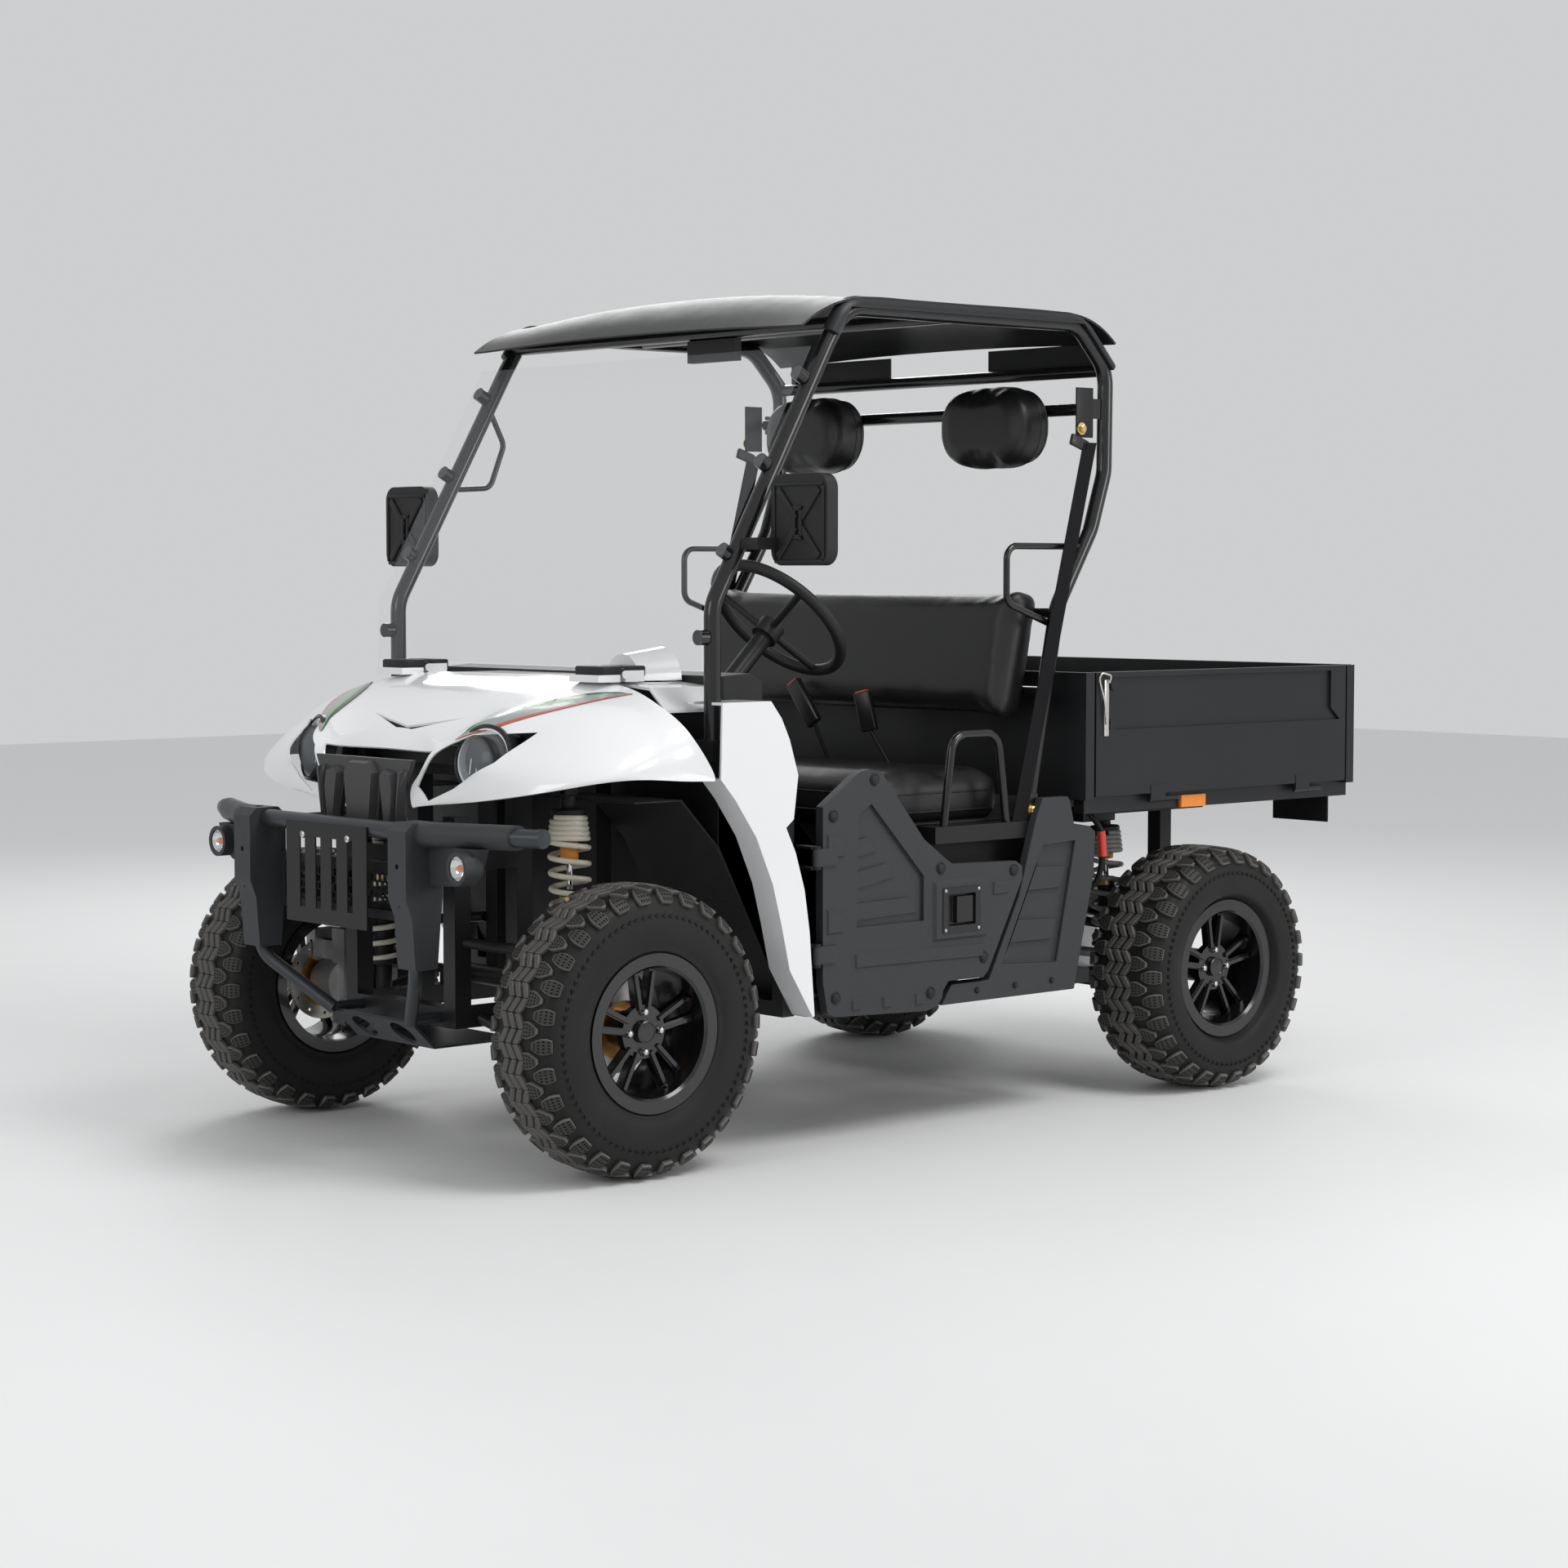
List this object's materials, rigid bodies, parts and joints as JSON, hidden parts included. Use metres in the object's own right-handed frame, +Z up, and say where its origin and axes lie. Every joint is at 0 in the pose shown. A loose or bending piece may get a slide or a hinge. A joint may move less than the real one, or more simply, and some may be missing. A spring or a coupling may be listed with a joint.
{
  "type": "side by side utility vehicle",
  "caption": "Open utility vehicle with a roll cage, a bench seat, half doors, a hinged hood, a tilting load bed with drop sides, and steered front wheels.",
  "frame": {"origin": "on the ground, centred under the vehicle's length and width", "axes": "+X to the vehicle's left, +Y towards its rear, +Z up"},
  "size_m": [1.656, 2.823, 1.9511],
  "materials": {
    "tyre": "matt tread rubber",
    "wheel_black": "satin black painted alloy",
    "disc_steel": "ground steel",
    "cast_alloy": "cast",
    "frame_black": "satin powder coat",
    "cage_black": "gloss powder coat",
    "spring_cream": "gloss paint",
    "spring_grey": "satin paint",
    "body_white": "gloss",
    "latch_black": "gloss",
    "mask_black": "semi-gloss",
    "black_plastic": "fine grain",
    "grey_plastic": "coarse grain",
    "roof_black": "fine grain",
    "lamp_clear": "clear",
    "amber": "gloss",
    "screen_clear": "clear",
    "seat_leather": "grained artificial leather",
    "webbing": "woven",
    "buckle_black": "gloss",
    "bed_black": "satin powder coat"
  },
  "bodies": {
    "chassis": {"drive_unit": "cast_alloy", "frame": "frame_black", "front_arms": "frame_black", "rear_arms": "frame_black", "door_brackets": "frame_black", "bumper_bar": "frame_black", "slot_plate": "frame_black", "steering_column": "frame_black", "roll_cage": "cage_black", "grab_handles": "cage_black", "screen_clamps": "cage_black", "front_shocks": "spring_cream", "rear_shocks": "spring_grey", "cowl": "body_white", "fender_left": "body_white", "fender_right": "body_white", "front_mask": "mask_black", "lower_grille": "black_plastic", "dash": "black_plastic", "floor_pan": "black_plastic", "arch_liners": "black_plastic", "mirrors": "black_plastic", "seat_box": "black_plastic", "side_panels": "grey_plastic", "bumper_covers": "grey_plastic", "roof": "roof_black", "headlights": "lamp_clear", "indicators": "amber", "windshield": "screen_clear", "seat_base": "seat_leather", "seat_back": "seat_leather", "headrests": "seat_leather", "belts": "webbing", "buckles": "buckle_black"},
    "hood": {"hood": "body_white"},
    "door_left": {"door_left": "grey_plastic", "door_latch_left": "latch_black"},
    "door_right": {"door_right": "grey_plastic", "door_latch_right": "latch_black"},
    "bed": {"bed": "bed_black", "reflectors": "amber"},
    "side_board_left": {"side_board_left": "bed_black"},
    "side_board_right": {"side_board_right": "bed_black"},
    "tailgate": {"tailgate": "bed_black"},
    "knuckle_left": {"knuckle_left": "cast_alloy"},
    "knuckle_right": {"knuckle_right": "cast_alloy"},
    "rack": {"tie_rods": "frame_black"},
    "steering_wheel": {"steering_wheel": "black_plastic"},
    "wheel_fl": {"tyre_fl": "tyre", "rim_fl": "wheel_black", "brake_disc_fl": "disc_steel"},
    "wheel_fr": {"tyre_fr": "tyre", "rim_fr": "wheel_black", "brake_disc_fr": "disc_steel"},
    "wheel_rl": {"tyre_rl": "tyre", "rim_rl": "wheel_black"},
    "wheel_rr": {"tyre_rr": "tyre", "rim_rr": "wheel_black"}
  },
  "joints": [
    {"name": "hood_hinge", "type": "hinge", "parent": "chassis", "child": "hood", "pos_m": [0, -0.876, 1.072], "axis": [-1, 0, 0], "range_deg": [0, 55]},
    {"name": "door_left_hinge", "type": "hinge", "parent": "chassis", "child": "door_left", "pos_m": [0.652, -0.514, 0.5], "axis": [0, 0, -1], "range_deg": [0, 75]},
    {"name": "door_right_hinge", "type": "hinge", "parent": "chassis", "child": "door_right", "pos_m": [-0.652, -0.514, 0.5], "axis": [0, 0, 1], "range_deg": [0, 75]},
    {"name": "bed_tilt", "type": "hinge", "parent": "chassis", "child": "bed", "pos_m": [0, 1.224, 0.724], "axis": [-1, 0, 0], "range_deg": [0, 40]},
    {"name": "side_board_left_hinge", "type": "hinge", "parent": "bed", "child": "side_board_left", "pos_m": [0.6533, 0.87, 0.74], "axis": [0, 1, 0], "range_deg": [0, 100]},
    {"name": "side_board_right_hinge", "type": "hinge", "parent": "bed", "child": "side_board_right", "pos_m": [-0.6533, 0.87, 0.74], "axis": [0, -1, 0], "range_deg": [0, 100]},
    {"name": "tailgate_hinge", "type": "hinge", "parent": "bed", "child": "tailgate", "pos_m": [0, 1.401, 0.74], "axis": [-1, 0, 0], "range_deg": [0, 100]},
    {"name": "knuckle_left_steer", "type": "hinge", "parent": "chassis", "child": "knuckle_left", "pos_m": [0.47, -1.016, 0.317], "axis": [0, 0, 1], "range_deg": [-28, 28]},
    {"name": "knuckle_right_steer", "type": "hinge", "parent": "chassis", "child": "knuckle_right", "pos_m": [-0.47, -1.016, 0.317], "axis": [0, 0, 1], "range_deg": [-28.5, 28.5]},
    {"name": "rack_slide", "type": "slide", "parent": "chassis", "child": "rack", "axis": [1, 0, 0], "range_m": [-0.056, 0.056]},
    {"name": "steering_wheel_turn", "type": "hinge", "parent": "chassis", "child": "steering_wheel", "pos_m": [0.3, -0.316, 1.19], "axis": [0, 0.7193, 0.6947], "range_deg": [-370, 370]},
    {"name": "wheel_fl_roll", "type": "hinge", "parent": "knuckle_left", "child": "wheel_fl", "pos_m": [0.6, -1.016, 0.317], "axis": [1, 0, 0], "continuous": true},
    {"name": "wheel_fr_roll", "type": "hinge", "parent": "knuckle_right", "child": "wheel_fr", "pos_m": [-0.6, -1.016, 0.317], "axis": [1, 0, 0], "continuous": true},
    {"name": "wheel_rl_roll", "type": "hinge", "parent": "chassis", "child": "wheel_rl", "pos_m": [0.6, 0.839, 0.305], "axis": [1, 0, 0], "continuous": true},
    {"name": "wheel_rr_roll", "type": "hinge", "parent": "chassis", "child": "wheel_rr", "pos_m": [-0.6, 0.839, 0.305], "axis": [1, 0, 0], "continuous": true}
  ],
  "couplings": [
    {"joint": "knuckle_right_steer", "follows": "knuckle_left_steer", "ratio": 1},
    {"joint": "rack_slide", "follows": "knuckle_left_steer", "m_per_rad": -0.107},
    {"joint": "steering_wheel_turn", "follows": "knuckle_left_steer", "ratio": 13}
  ]
}
